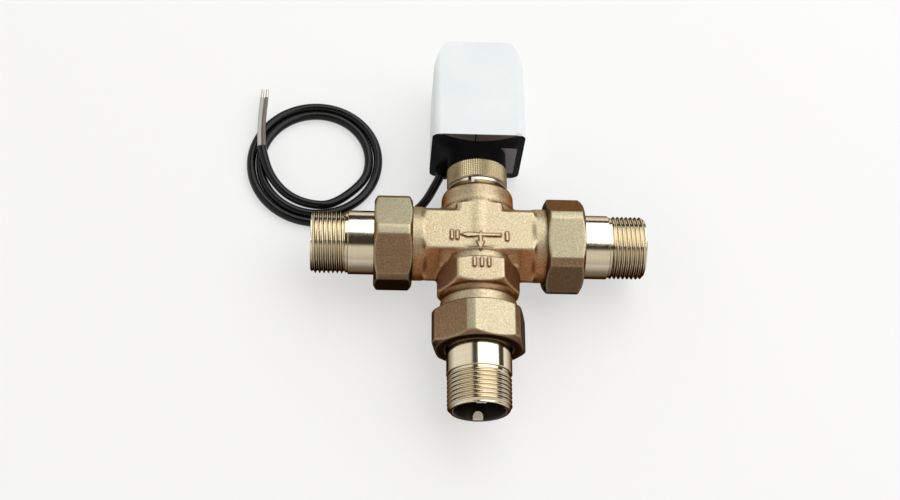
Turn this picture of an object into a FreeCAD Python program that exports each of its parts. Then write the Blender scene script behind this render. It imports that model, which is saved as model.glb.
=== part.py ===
import FreeCAD, Part
import math
import os

# Three-way diverter valve with an electrothermal actuator, lying on its back.
# Millimetres. X runs along the two side ports, Y along the stem towards the
# actuator, Z up. The origin is the middle of the base of the bounding box.
# Every piece is made about the point where the port axes cross, and moved to
# its place on the table at the end.

vector = FreeCAD.Vector

# Union thread G 1 1/4 at its pitch line, and pipe thread R 1 on the tails
union_thread_radius = 20.2
union_thread_length = 10.4
thread_clearance = 0.05
pipe_thread_radius = 16.6
pipe_thread_length = 18.0

# Valve body, outside
side_seat = 46.4
lower_seat = 51.6
arm_across_flats = 37.6
arm_half_length = 29.8
collar_radius = 19.6
lower_hex_across_flats = 41.6
lower_hex_half_width = 21.5
lower_hex_start = 13.5
lower_hex_length = 16.5
lower_collar_radius = 20.1
lower_cone_length = 4.6
neck_radius = 19.2
neck_top = 27.8
neck_groove_height = 18.0
neck_groove_depth = 0.9
pad_half_width = 10.2
pad_edge = 0.9
hex_chamfer_angle = 32.0
forging_edge_radius = 0.8
forging_side_radius = 5.0

# Valve body, flow passages
side_bore_radius = 11.0
lower_bore_radius = 12.9
side_bore_end = 17.0
middle_chamber_radius = 11.5
seat_face = 5.5
seat_lip_height = 0.6
seat_lip_width = 1.0
seat_bore_radius = 8.5
partition_top = 9.5
upper_chamber_radius = 14.0
upper_chamber_top = 17.5
common_passage_radius = 7.0
common_passage_offset = 2.1
upper_passage_radius = 4.2
upper_passage_spread = 3.5
upper_passage_offset = 12.0
upper_passage_wall = 2.5
upper_passage_end = 30.0

# Lower seat ring
seat_ring_height = 4.6
seat_ring_slot_width = 3.0
seat_ring_slot_depth = 1.5

# Bonnet, its seals and the gland nut
bonnet_thread_radius = 15.4
bonnet_seal_height = 1.0
bonnet_flange_radius = 18.6
bonnet_cone_height = 4.5
bonnet_cone_top_radius = 15.0
bonnet_undercut_radius = 13.1
bonnet_undercut_length = 1.2
actuator_thread_radius = 13.9
actuator_thread_length = 6.5
guide_length = 2.0
packing_radius = 6.2
packing_seals = 2
seal_section = 1.75
gland_nut_radius = 7.2
gland_nut_length = 2.5
gland_nut_hex = 9.0
spring_pocket_radius = 10.5
notch_width = 1.8
notch_depth = 1.6
notch_turn = 12.0

# Stem, plug and return spring
stem_radius = 4.0
stem_tip_radius = 3.0
stem_clearance = 0.06
stem_stroke = 4.0
contact_gap = 0.1
plug_seal_radius = 9.9
plug_seal_height = 2.5
plug_core_radius = 7.4
plug_core_height = 5.4
plug_nut_across_flats = 8.5
plug_nut_height = 3.0
return_spring_length = 10.8
return_spring_radius = 8.6
return_spring_wire = 1.1
return_spring_turns = 5
spring_cap_radius = 9.8
spring_cap_height = 2.0
stem_clip_height = 0.8
stem_clip_radius = 5.2
stem_clip_depth = 0.6
stem_tip_length = 1.2

# Union nuts, gaskets and tails
nut_across_flats = 46.0
nut_corner_trim = 1.25
nut_length = 20.2
nut_lip = 3.4
nut_chamfer_angle = 30.0
nut_face_trim = 0.6
nut_relief = 0.8
tail_clearance = 0.3
gasket_thickness = 2.0
tail_collar_clearance = 0.6
tail_collar_thickness = 3.2
tail_radius = 16.9
tail_bore_radius = 13.2
tail_length = 39.6
tail_groove_depth = 0.8
tail_groove_width = 2.0
lug_width = 4.5
lug_length = 4.5
lug_height = 2.6
lug_setback = 0.2
left_nut_turn = 21.0
right_nut_turn = 14.0
lower_nut_turn = 42.0

# Actuator, ring nut and collar
ring_nut_radius = 16.3
ring_nut_length = 10.8
ring_nut_lip = 2.2
ring_nut_chamfer = 0.6
ring_clearance = 0.3
sleeve_radius = 11.3
sleeve_gap = 0.1
sleeve_foot = 0.4
snap_ring_width = 2.2
snap_ring_height = 1.2
snap_groove_depth = 0.9
snap_ring_opening = 50.0
base_collar_radius = 15.8
base_collar_height = 9.5

# Actuator, housing
housing_depth = 47.6
housing_width = 49.8
base_thickness = 2.5
housing_corner_radius = 4.5
scoop_depth = 3.6
scoop_half_width = 19.5
skirt = 0.9
rim_height = 5.0
rim_wall = 1.6
rim_clearance = 0.2
cap_height = 57.5
cap_shoulder_height = 40.5
cap_shoulder_width = 48.4
cap_top_width = 33.0
cap_chamfer_bulge = 1.0
cap_wall = 1.8
cap_edge_radius = 3.4

# Actuator, drive
plunger_radius = 5.0
plunger_clearance = 0.06
plunger_flange_radius = 8.0
plunger_flange_height = 2.0
plunger_head_height = 1.0
plunger_spring_length = 9.5
plunger_spring_radius = 6.8
plunger_spring_wire = 0.9
plunger_spring_turns = 4
piston_radius = 2.4
piston_length = 14.0
piston_engagement = 11.0
cartridge_radius = 9.0
cartridge_length = 20.0
cartridge_nose_radius = 4.5
cartridge_nose_length = 3.0
heater_thickness = 2.4
frame_sheet = 1.5
frame_width = 16.0
frame_gap = 0.3
frame_foot = 5.0
contact_width = 5.0
contact_sheet = 0.5

# Cable: two cores in a round sheath
cable_radius = 2.5
core_radius = 1.15
core_spacing = 1.3
tip_length = 6.0
gland_radius = 4.8
gland_tip_radius = 3.7
gland_length = 5.0
clamp_length = 10.0
clamp_height = 5.0
clamp_width = 7.0
cable_exit_side = 16.8
cable_exit_back = 14.4
coil_x = -88.6
coil_y = 60.1
coil_outer_radius = 39.8
coil_inner_radius = 27.4
coil_height = 6.0
coil_edge_radius = 2.5
run_share = 0.45

# Heights along the stem and along the ports that follow from the sizes
upper_passage_start = seat_bore_radius + upper_passage_wall
plug_top = seat_face - contact_gap
plug_bottom = plug_top - 2.0 * plug_seal_height - plug_core_height
lower_seat_face = plug_bottom - stem_stroke - contact_gap
chamber_floor = lower_seat_face - seat_lip_height
seat_ring_radius = lower_bore_radius - thread_clearance
bonnet_bottom = upper_chamber_top + bonnet_seal_height
packing_floor = bonnet_bottom + guide_length
gland_nut_bottom = packing_floor + packing_seals * seal_section
spring_floor = gland_nut_bottom + gland_nut_length
bonnet_cone_top = neck_top + bonnet_cone_height
bonnet_top = bonnet_cone_top + bonnet_undercut_length + actuator_thread_length
spring_cap_bottom = spring_floor + return_spring_length
spring_cap_top = spring_cap_bottom + spring_cap_height
stem_clip_top = spring_cap_top + stem_clip_height
stem_tip = stem_clip_top + stem_tip_length
sleeve_bottom = bonnet_top + sleeve_gap
snap_ring_bottom = sleeve_bottom + sleeve_foot
snap_ring_top = snap_ring_bottom + snap_ring_height
ring_lip_bottom = snap_ring_top + ring_clearance
ring_nut_top = ring_lip_bottom + ring_nut_lip
ring_nut_bottom = ring_nut_top - ring_nut_length
collar_bottom = ring_nut_top + ring_clearance
base_face = collar_bottom + base_collar_height
base_top = base_face + base_thickness
cap_top = base_top + cap_height
plunger_bottom = stem_tip + contact_gap
flange_bottom = base_top + plunger_spring_length
flange_top = flange_bottom + plunger_flange_height
plunger_top = flange_top + plunger_head_height
cartridge_nose = plunger_top + contact_gap
cartridge_bottom = cartridge_nose + cartridge_nose_length
cartridge_top = cartridge_bottom + cartridge_length
frame_top = cartridge_top + heater_thickness
tail_end_side = side_seat + gasket_thickness + tail_length
tail_end_lower = lower_seat + gasket_thickness + tail_length
nut_reach = gasket_thickness + tail_collar_thickness + nut_lip
nut_corner_radius = nut_across_flats / math.sqrt(3.0) - nut_corner_trim
nut_flat_edge = math.degrees(math.acos(nut_across_flats / 2.0 / nut_corner_radius))


def nut_drop(turn):
    """How far below its axis a nut reaches that is turned from a flat on top."""
    off_corner = abs(turn % 60.0 - 30.0)
    off_trim = max(0.0, off_corner - (30.0 - nut_flat_edge))
    return nut_corner_radius * math.cos(math.radians(off_trim))


axis_height = max(
    nut_drop(left_nut_turn), nut_drop(right_nut_turn), nut_drop(lower_nut_turn), housing_depth / 2.0)
axis_y = (tail_end_lower - cap_top) / 2.0

up = vector(0, 0, 1)
nodes = {}


def turned(outline, sweep=360.0):
    """Solid of revolution about Z from (height, radius) corners."""
    points = [vector(radius, 0, height) for height, radius in outline]
    face = Part.Face(Part.makePolygon(points + points[:1]))
    return face.revolve(vector(0, 0, 0), up, sweep)


def cylinder(radius, start, end):
    return Part.makeCylinder(radius, end - start, vector(0, 0, start))


def rounded_along(shape, radius, way):
    """Round the straight edges of a prism that run along one direction."""
    edges = []
    for edge in shape.Edges:
        run = edge.Vertexes[-1].Point - edge.Vertexes[0].Point
        if run.cross(way).Length < 0.001 * run.Length:
            edges.append(edge)
    return shape.makeFillet(radius, edges)


def hex_prism(across_flats, start, end):
    """Hexagonal prism along Z with a flat towards +X."""
    corner = across_flats / math.sqrt(3.0)
    points = []
    for step in range(6):
        angle = math.radians(30.0 + 60.0 * step)
        points.append(vector(corner * math.cos(angle), corner * math.sin(angle), start))
    face = Part.Face(Part.makePolygon(points + points[:1]))
    return face.extrude(vector(0, 0, end - start))


def chamfered_cylinder(radius, start, end, inner_radius, angle):
    """Cylinder whose two rims are cut by cones that reach inner_radius."""
    rise = (radius - inner_radius) * math.tan(math.radians(angle))
    return turned([
        (start, 0), (start, inner_radius), (start + rise, radius),
        (end - rise, radius), (end, inner_radius), (end, 0),
    ])


def along(shape, direction):
    """Point a piece that was made along +Z, with its own X upwards."""
    side = direction.cross(up)
    matrix = FreeCAD.Matrix(
        0, side.x, direction.x, 0,
        0, side.y, direction.y, 0,
        1, side.z, direction.z, 0,
        0, 0, 0, 1)
    moved = shape.copy()
    moved.Placement = FreeCAD.Placement(matrix).multiply(moved.Placement)
    return moved


left = vector(-1, 0, 0)
right = vector(1, 0, 0)
lower = vector(0, -1, 0)
stem_way = vector(0, 1, 0)


def chamfered_hex(across_flats, start, end):
    """Hexagonal boss whose outer end is turned to a cone."""
    corner = across_flats / math.sqrt(3.0)
    inner = across_flats / 2.0
    rise = (corner - inner) * math.tan(math.radians(hex_chamfer_angle))
    envelope = turned([(start, 0), (start, corner), (end - rise, corner), (end, inner), (end, 0)])
    prism = hex_prism(across_flats, start, end)
    upright = [edge for edge in prism.Edges if edge.BoundBox.ZLength > 0.5 * (end - start)]
    sides = [edge for edge in upright if abs(edge.CenterOfMass.x) < 0.1 * corner]
    prism = prism.makeFillet(forging_side_radius, sides)
    flat_rims = [
        edge for edge in prism.Edges
        if edge.BoundBox.ZLength > 0.5 * (end - start) and abs(edge.CenterOfMass.x) > 0.95 * inner]
    return prism.makeFillet(forging_edge_radius, flat_rims).common(envelope)


def threaded_end(collar, collar_start, seat):
    """Collar and male union thread that end at the sealing face."""
    bevel = 1.0
    return turned([
        (collar_start, 0), (collar_start, collar), (seat - union_thread_length, collar),
        (seat - union_thread_length, union_thread_radius), (seat - bevel, union_thread_radius),
        (seat, union_thread_radius - bevel), (seat, 0),
    ])


def body_outside():
    side_arm = chamfered_hex(arm_across_flats, 0, arm_half_length).fuse(
        threaded_end(collar_radius, arm_half_length - 1.0, side_seat))
    hex_end = lower_hex_start + lower_hex_length
    lower_arm = chamfered_hex(lower_hex_across_flats, lower_hex_start, hex_end)
    trim = Part.makeBox(
        2.0 * lower_hex_across_flats, 2.0 * lower_hex_half_width, 2.0 * hex_end,
        vector(-lower_hex_across_flats, -lower_hex_half_width, 0))
    waist = lower_collar_radius - 1.0
    cone_end = hex_end + lower_cone_length
    shoulder = lower_hex_half_width + 0.2
    lower_turned = turned([
        (0, 0), (0, neck_radius), (lower_hex_start - 3.4, neck_radius),
        (lower_hex_start - 1.4, shoulder), (lower_hex_start, shoulder),
        (lower_hex_start, waist), (cone_end - 1.0, waist),
        (cone_end, lower_collar_radius), (cone_end, 0),
    ])
    lower_arm = lower_arm.common(trim).fuse([
        lower_turned, threaded_end(lower_collar_radius, cone_end - 0.5, lower_seat)])
    groove = neck_groove_depth
    neck = turned([
        (0, 0), (0, neck_radius), (neck_groove_height - groove, neck_radius),
        (neck_groove_height, neck_radius - groove), (neck_groove_height + groove, neck_radius),
        (neck_top - groove, neck_radius), (neck_top, neck_radius - groove), (neck_top, 0),
    ])
    pad_top = arm_across_flats / 2.0
    pad_foot = pad_half_width + 2.0 * pad_edge
    outline = [
        vector(-pad_foot, -lower_hex_start, 0), vector(-pad_foot, -lower_hex_start, pad_top - pad_edge),
        vector(-pad_half_width, -lower_hex_start, pad_top), vector(pad_half_width, -lower_hex_start, pad_top),
        vector(pad_foot, -lower_hex_start, pad_top - pad_edge), vector(pad_foot, -lower_hex_start, 0),
    ]
    pad_length = lower_hex_start + neck_groove_height - 2.0 * groove
    pad = Part.Face(Part.makePolygon(outline + outline[:1])).extrude(vector(0, pad_length, 0))
    pad = rounded_along(pad, pad_edge, stem_way)
    back_pad = pad.mirror(vector(0, 0, 0), up)
    return along(side_arm, left).fuse([
        along(side_arm, right), along(lower_arm, lower), along(neck, stem_way), pad, back_pad])


def body_passages():
    """Upper chamber to the right port, middle chamber to the left, lower seat below."""
    side_bore = cylinder(side_bore_radius, side_bore_end, side_seat + 1.0)
    lip_top = seat_face + seat_lip_height
    chambers = cylinder(middle_chamber_radius, chamber_floor, lip_top).fuse([
        cylinder(seat_bore_radius, seat_face - 1.0, partition_top + 1.0),
        cylinder(upper_chamber_radius, partition_top, upper_chamber_top),
        cylinder(bonnet_thread_radius + thread_clearance, upper_chamber_top, neck_top + 1.0),
    ])
    chambers = chambers.cut(turned([
        (seat_face, seat_bore_radius), (seat_face, seat_bore_radius + seat_lip_width),
        (lip_top + 0.2, seat_bore_radius + seat_lip_width), (lip_top + 0.2, seat_bore_radius),
    ]))
    common = along(cylinder(common_passage_radius, 0, side_bore_end + 1.0), left)
    common.translate(vector(0, -common_passage_offset, 0))
    length = upper_passage_end - upper_passage_start
    slot = Part.makeBox(
        length, 2.0 * upper_passage_radius, 2.0 * upper_passage_spread,
        vector(upper_passage_start, upper_passage_offset - upper_passage_radius, -upper_passage_spread))
    for side in (-1, 1):
        slot = slot.fuse(Part.makeCylinder(
            upper_passage_radius, length,
            vector(upper_passage_start, upper_passage_offset, side * upper_passage_spread), right))
    lower_bore = along(cylinder(lower_bore_radius, -chamber_floor, lower_seat + 1.0), lower)
    return [along(side_bore, left), along(side_bore, right), along(chambers, stem_way),
            common, slot, lower_bore]


def valve_body():
    return body_outside().cut(body_passages())


def seat_ring():
    """Ring screwed in from the lower port, its lip towards the plug."""
    top = lower_seat_face
    face = chamber_floor
    bottom = face - seat_ring_height
    ring = turned([
        (bottom, seat_bore_radius), (bottom, seat_ring_radius), (face, seat_ring_radius),
        (face, seat_bore_radius + seat_lip_width), (top, seat_bore_radius + seat_lip_width),
        (top, seat_bore_radius),
    ])
    slot = Part.makeBox(
        seat_ring_slot_width, 4.0 * seat_ring_radius, seat_ring_slot_depth,
        vector(-seat_ring_slot_width / 2.0, -2.0 * seat_ring_radius, bottom))
    return along(ring.cut(slot), stem_way)


def bonnet():
    """Turned insert: seals the neck, guides the stem and carries the actuator's thread."""
    undercut_top = bonnet_cone_top + bonnet_undercut_length
    bevel = 0.8
    blank = turned([
        (bonnet_bottom, 0), (bonnet_bottom, bonnet_thread_radius), (neck_top, bonnet_thread_radius),
        (neck_top, bonnet_flange_radius), (bonnet_cone_top, bonnet_cone_top_radius),
        (bonnet_cone_top, bonnet_undercut_radius), (undercut_top, bonnet_undercut_radius),
        (undercut_top, actuator_thread_radius), (bonnet_top - bevel, actuator_thread_radius),
        (bonnet_top, actuator_thread_radius - bevel), (bonnet_top, 0),
    ])
    bores = cylinder(stem_radius + stem_clearance, bonnet_bottom - 1.0, bonnet_top).fuse([
        cylinder(packing_radius, packing_floor, gland_nut_bottom),
        cylinder(gland_nut_radius + thread_clearance, gland_nut_bottom, spring_floor),
        cylinder(spring_pocket_radius, spring_floor, bonnet_top + 1.0),
    ])
    shape = along(blank.cut(bores), stem_way)
    floor = neck_top + bevel
    notch = Part.makeBox(
        notch_width, bonnet_cone_top - floor + 0.1, bonnet_flange_radius,
        vector(-notch_width / 2.0, floor, bonnet_cone_top_radius - notch_depth))
    for step in (0, 180):
        cutter = notch.copy()
        cutter.rotate(vector(0, 0, 0), stem_way, step - notch_turn)
        shape = shape.cut(cutter)
    return shape


def bonnet_seal():
    return along(turned([
        (upper_chamber_top, upper_chamber_radius), (upper_chamber_top, bonnet_thread_radius),
        (bonnet_bottom, bonnet_thread_radius), (bonnet_bottom, upper_chamber_radius),
    ]), stem_way)


def stem_seals():
    rings = []
    for number in range(packing_seals):
        height = packing_floor + (number + 0.5) * seal_section
        rings.append(Part.makeTorus(seal_ring_radius, seal_section / 2.0, vector(0, 0, height)))
    return along(Part.makeCompound(rings), stem_way)


def gland_nut():
    nut = turned([
        (gland_nut_bottom, stem_radius + stem_clearance), (gland_nut_bottom, gland_nut_radius),
        (spring_floor, gland_nut_radius), (spring_floor, stem_radius + stem_clearance),
    ])
    socket = hex_prism(gland_nut_hex, spring_floor - gland_nut_length / 2.0, spring_floor)
    return along(nut.cut(socket), stem_way)


def stem():
    foot = plug_bottom - plug_nut_height - 0.6
    neck = stem_tip_radius - stem_clip_depth
    return along(turned([
        (foot, 0), (foot, stem_tip_radius), (plug_top, stem_tip_radius), (plug_top, stem_radius),
        (spring_cap_bottom, stem_radius), (spring_cap_bottom, stem_tip_radius),
        (spring_cap_top, stem_tip_radius), (spring_cap_top, neck), (stem_clip_top, neck),
        (stem_clip_top, stem_tip_radius), (stem_tip - 0.4, stem_tip_radius),
        (stem_tip, stem_tip_radius - 0.4), (stem_tip, 0),
    ]), stem_way)


def ring(inner, outer, start, end):
    return along(turned([(start, inner), (start, outer), (end, outer), (end, inner)]), stem_way)


def plug_nut():
    top = plug_bottom
    nut = hex_prism(plug_nut_across_flats, top - plug_nut_height, top)
    return along(nut.cut(cylinder(stem_tip_radius, top - plug_nut_height, top)), stem_way)


def spring_cap():
    hub = return_spring_radius - return_spring_wire
    return along(turned([
        (spring_cap_bottom - 1.5, stem_radius + 0.2), (spring_cap_bottom - 1.5, hub - 0.2),
        (spring_cap_bottom, hub), (spring_cap_bottom, spring_cap_radius),
        (spring_cap_top - 0.4, spring_cap_radius), (spring_cap_top, spring_cap_radius - 0.4),
        (spring_cap_top, stem_tip_radius), (spring_cap_bottom, stem_tip_radius),
        (spring_cap_bottom, stem_radius + 0.2),
    ]), stem_way)


def stem_clip():
    inner = stem_tip_radius - stem_clip_depth
    return along(turned([
        (spring_cap_top, inner), (spring_cap_top, stem_clip_radius),
        (stem_clip_top, stem_clip_radius), (stem_clip_top, inner),
    ], 290.0), stem_way)


def coil_spring(mean_radius, wire, turns, start, length):
    """Round wire on a helix that fits between two flat seats."""
    height = length - wire
    helix = Part.makeLongHelix(height / turns, height, mean_radius)
    section = Part.Wire(Part.makeCircle(wire / 2.0, vector(mean_radius, 0, 0), vector(0, 1, 0)))
    spring = Part.Wire(helix.Edges).makePipeShell([section], True, True)
    spring.translate(vector(0, 0, start + wire / 2.0))
    return along(spring, stem_way)


def union_nut(seat, turn):
    """Hexagonal nut, corners turned round, with an inward lip behind the tail's collar."""
    end = seat + nut_reach
    start = end - nut_length
    bore = union_thread_radius + thread_clearance
    relief = bore + nut_relief
    blank = hex_prism(nut_across_flats, start, end).common(chamfered_cylinder(
        nut_corner_radius, start, end, nut_across_flats / 2.0 - nut_face_trim, nut_chamfer_angle))
    inside = turned([
        (start - 1.0, 0), (start - 1.0, relief), (start, relief), (start + nut_relief, bore),
        (seat - 1.0, bore), (seat - 1.0, relief), (end - nut_lip, relief),
        (end - nut_lip, tail_radius + tail_clearance), (end + 1.0, tail_radius + tail_clearance),
        (end + 1.0, 0),
    ])
    nut = blank.cut(inside)
    nut.rotate(vector(0, 0, 0), up, turn)
    return nut


def gasket(seat, bore):
    collar = union_thread_radius - tail_collar_clearance
    return turned([
        (seat, bore), (seat, collar), (seat + gasket_thickness, collar), (seat + gasket_thickness, bore),
    ])


def driving_lugs(end):
    """Two tongues inside the mouth that a key holds, round at their inner ends."""
    half = lug_width / 2.0
    outer = end - lug_setback
    centre = outer - (lug_length - half)
    reach = tail_bore_radius + 0.5
    tongue = Part.makeBox(2.0 * reach, lug_width, outer - centre, vector(-reach, -half, centre)).fuse(
        Part.makeCylinder(half, 2.0 * reach, vector(-reach, 0, centre), vector(1, 0, 0)))
    wall = cylinder(reach, centre - lug_width, end).cut(
        cylinder(tail_bore_radius - lug_height, centre - lug_width, end))
    return tongue.common(wall)


def tail(seat):
    """Tube with a collar inside the nut, a plain run, a groove and the pipe thread."""
    start = seat + gasket_thickness
    collar_end = start + tail_collar_thickness
    end = start + tail_length
    thread_start = end - pipe_thread_length
    groove = tail_radius - tail_groove_depth
    collar = union_thread_radius - tail_collar_clearance
    bevel = 1.2
    tube = turned([
        (start, tail_bore_radius), (start, collar), (collar_end, collar), (collar_end, tail_radius),
        (thread_start - tail_groove_width, tail_radius), (thread_start - tail_groove_width, groove),
        (thread_start, groove), (thread_start, pipe_thread_radius),
        (end - bevel, pipe_thread_radius), (end, pipe_thread_radius - bevel),
        (end, tail_bore_radius + bevel / 2.0), (end - bevel / 2.0, tail_bore_radius),
    ])
    return tube.fuse(driving_lugs(end))


def ring_nut():
    bore = actuator_thread_radius + thread_clearance
    relief = bore + 0.5
    bevel = ring_nut_chamfer
    lip = sleeve_radius + ring_clearance
    return along(turned([
        (ring_nut_bottom, bore + bevel), (ring_nut_bottom, ring_nut_radius - bevel),
        (ring_nut_bottom + bevel, ring_nut_radius), (ring_nut_top - bevel, ring_nut_radius),
        (ring_nut_top, ring_nut_radius - bevel), (ring_nut_top, lip), (ring_lip_bottom, lip),
        (ring_lip_bottom, relief), (bonnet_top, relief), (bonnet_top, bore),
        (ring_nut_bottom + bevel, bore),
    ]), stem_way)


def snap_ring():
    inner = sleeve_radius - snap_groove_depth
    return along(turned([
        (snap_ring_bottom, inner), (snap_ring_bottom, inner + snap_ring_width),
        (snap_ring_top, inner + snap_ring_width), (snap_ring_top, inner),
    ], 360.0 - snap_ring_opening), stem_way)


def rounded_block(width, depth, start, end, radius):
    """Block along Y with its four long edges rounded."""
    block = Part.makeBox(width, end - start, depth, vector(-width / 2.0, start, -depth / 2.0))
    return rounded_along(block, radius, stem_way)


def scoop(clearance):
    """Shallow round bite and a straight strip out of the front edge of the base."""
    radius = (scoop_half_width ** 2 + scoop_depth ** 2) / (2.0 * scoop_depth)
    front = housing_depth / 2.0
    bite = Part.makeCylinder(
        radius - clearance, base_thickness, vector(0, base_face, front - scoop_depth + radius), stem_way)
    strip = Part.makeBox(
        housing_width, base_thickness, skirt,
        vector(-housing_width / 2.0, base_face, front - skirt + clearance))
    return bite.fuse(strip)


def actuator_base():
    """Black tray with the collar above the ring nut and the sleeve inside it."""
    plate = rounded_block(housing_width, housing_depth, base_face, base_top, housing_corner_radius)
    inset = cap_wall + rim_clearance
    rim_width = housing_width - 2.0 * inset
    rim_depth = housing_depth - 2.0 * inset
    rim_radius = housing_corner_radius - inset
    rim = rounded_block(rim_width, rim_depth, base_top, base_top + rim_height, rim_radius).cut(
        rounded_block(
            rim_width - 2.0 * rim_wall, rim_depth - 2.0 * rim_wall,
            base_top, base_top + rim_height, rim_radius - rim_wall / 2.0))
    groove = sleeve_radius - snap_groove_depth
    spigot = along(turned([
        (sleeve_bottom, 0), (sleeve_bottom, sleeve_radius), (snap_ring_bottom, sleeve_radius),
        (snap_ring_bottom, groove), (snap_ring_top, groove), (snap_ring_top, sleeve_radius),
        (collar_bottom, sleeve_radius), (collar_bottom, base_collar_radius),
        (base_face, base_collar_radius), (base_face, 0),
    ]), stem_way)
    bore = along(cylinder(plunger_radius + plunger_clearance, sleeve_bottom, base_top), stem_way)
    cable_hole = Part.makeCylinder(
        cable_radius, 4.0 * base_thickness,
        cable_start - cable_way * 2.0 * base_thickness, cable_way)
    return plate.cut(scoop(0)).fuse([rim, spigot]).cut([bore, cable_hole])


def cap_block(inset):
    """Outer form of the cap, or the hollow inside it.

    It is what a front outline, a plan and a side outline have in common.
    """
    foot = base_top if inset == 0 else base_top - 1.0
    shoulder = base_top + cap_shoulder_height
    top = cap_top - inset
    half_foot = housing_width / 2.0 - inset
    half_shoulder = cap_shoulder_width / 2.0 - inset
    half_top = cap_top_width / 2.0 - inset
    middle_x = (half_shoulder + half_top) / 2.0 + cap_chamfer_bulge
    middle_y = (shoulder + top) / 2.0 + cap_chamfer_bulge / 2.0
    depth = housing_depth - 2.0 * inset
    back = -depth / 2.0

    def point(x, y):
        return vector(x, y, back)

    outline = [
        Part.makeLine(point(-half_foot, foot), point(half_foot, foot)),
        Part.makeLine(point(half_foot, foot), point(half_shoulder, shoulder)),
        Part.Arc(point(half_shoulder, shoulder), point(middle_x, middle_y), point(half_top, top)).toShape(),
        Part.makeLine(point(half_top, top), point(-half_top, top)),
        Part.Arc(point(-half_top, top), point(-middle_x, middle_y), point(-half_shoulder, shoulder)).toShape(),
        Part.makeLine(point(-half_shoulder, shoulder), point(-half_foot, foot)),
    ]
    front = Part.Face(Part.Wire(outline)).extrude(vector(0, 0, depth))
    plan = rounded_block(2.0 * half_foot, depth, foot, top, housing_corner_radius - inset)
    side = Part.makeBox(2.0 * half_foot, top - foot, depth, vector(-half_foot, foot, back))
    top_edges = [
        edge for edge in side.Edges
        if edge.BoundBox.YMin > top - 0.001 and edge.BoundBox.ZLength < 0.001]
    side = side.makeFillet(cap_edge_radius - inset / 2.0, top_edges)
    return front.common(plan).common(side)


def cap():
    """White cover, a shell with a front skirt and a crescent lip that fill the scoop of the base."""
    shell = cap_block(0).cut(cap_block(cap_wall))
    plate = rounded_block(housing_width, housing_depth, base_face, base_top, housing_corner_radius)
    lip = plate.common(scoop(rim_clearance))
    return shell.fuse(lip)


def carrier_frame():
    """Sheet bracket over the wax cartridge, with feet on the base."""
    inner = cartridge_radius + frame_gap
    outer = inner + frame_sheet
    foot = outer + frame_foot
    half = [
        (inner, frame_top), (inner, base_top), (foot, base_top), (foot, base_top + frame_sheet),
        (outer, base_top + frame_sheet), (outer, frame_top + frame_sheet),
    ]
    outline = [vector(x, y, -frame_width / 2.0) for x, y in half]
    outline += [vector(-x, y, -frame_width / 2.0) for x, y in reversed(half)]
    face = Part.Face(Part.makePolygon(outline + outline[:1]))
    return face.extrude(vector(0, 0, frame_width))


def wax_cartridge():
    bore = piston_radius + plunger_clearance
    bore_end = plunger_top + piston_length + 0.5
    return along(turned([
        (cartridge_nose, bore), (cartridge_nose, cartridge_nose_radius),
        (cartridge_bottom, cartridge_nose_radius), (cartridge_bottom, cartridge_radius),
        (cartridge_top, cartridge_radius), (cartridge_top, 0), (bore_end, 0), (bore_end, bore),
    ]), stem_way)


def plunger():
    return along(turned([
        (plunger_bottom, 0), (plunger_bottom, plunger_radius), (flange_bottom, plunger_radius),
        (flange_bottom, plunger_flange_radius), (flange_top, plunger_flange_radius),
        (flange_top, plunger_radius), (plunger_top, plunger_radius), (plunger_top, 0),
    ]), stem_way)


def heater_contacts():
    """Two strips that stand on the base and reach the heater's rim."""
    strips = []
    for side in (-1, 1):
        near = cartridge_radius + contact_gap
        low = near if side > 0 else -near - contact_sheet
        strips.append(Part.makeBox(
            contact_width, frame_top - base_top, contact_sheet,
            vector(-contact_width / 2.0, base_top, low)))
    return Part.makeCompound(strips)


def strain_relief():
    """Tapered sleeve round the cable, cut flush with the underside of the base."""
    slope = (gland_radius - gland_tip_radius) / gland_length
    root = gland_radius
    outline = [
        (-root, cable_radius), (-root, gland_radius + slope * root),
        (gland_length, gland_tip_radius), (gland_length, cable_radius),
    ]
    sleeve = turned(outline)
    sleeve.Placement = FreeCAD.Placement(cable_start, FreeCAD.Rotation(up, cable_way))
    size = 8.0 * gland_radius
    above = Part.makeBox(size, size, size, vector(
        cable_start.x - size / 2.0, base_face, cable_start.z - size / 2.0))
    return sleeve.cut(above)


def cable_clamp():
    block = Part.makeBox(
        clamp_length, clamp_height, clamp_width,
        vector(inner_cable_end.x - clamp_length / 2.0, base_top, inner_cable_end.z - clamp_width / 2.0))
    return block.cut(inner_cable())


def inner_cable():
    """Short end of the cable from the strain relief through the base and the clamp."""
    return Part.makeCylinder(cable_radius, inner_cable_length, cable_start, -cable_way)


def cord_path(points):
    """Straight runs joined by arcs as large as the two runs allow."""
    runs = [(points[i + 1] - points[i]) for i in range(len(points) - 1)]
    edges = []
    radii = []
    start = points[0]
    for i in range(1, len(points) - 1):
        before = runs[i - 1]
        after = runs[i]
        half_turn = before.getAngle(after) / 2.0
        reach = run_share * min(before.Length, after.Length)
        radii.append(reach / math.tan(half_turn))
        way_in = before * (1.0 / before.Length)
        way_out = after * (1.0 / after.Length)
        arc_start = points[i] - way_in * reach
        arc_end = points[i] + way_out * reach
        bisector = (way_out - way_in)
        bisector = bisector * (1.0 / bisector.Length)
        sagitta = radii[-1] * (1.0 / math.cos(half_turn) - 1.0)
        arc_middle = points[i] + bisector * sagitta
        edges.append(Part.LineSegment(start, arc_start).toShape())
        edges.append(Part.Arc(arc_start, arc_middle, arc_end).toShape())
        start = arc_end
    edges.append(Part.LineSegment(start, points[-1]).toShape())
    return Part.Wire(edges), radii


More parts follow.
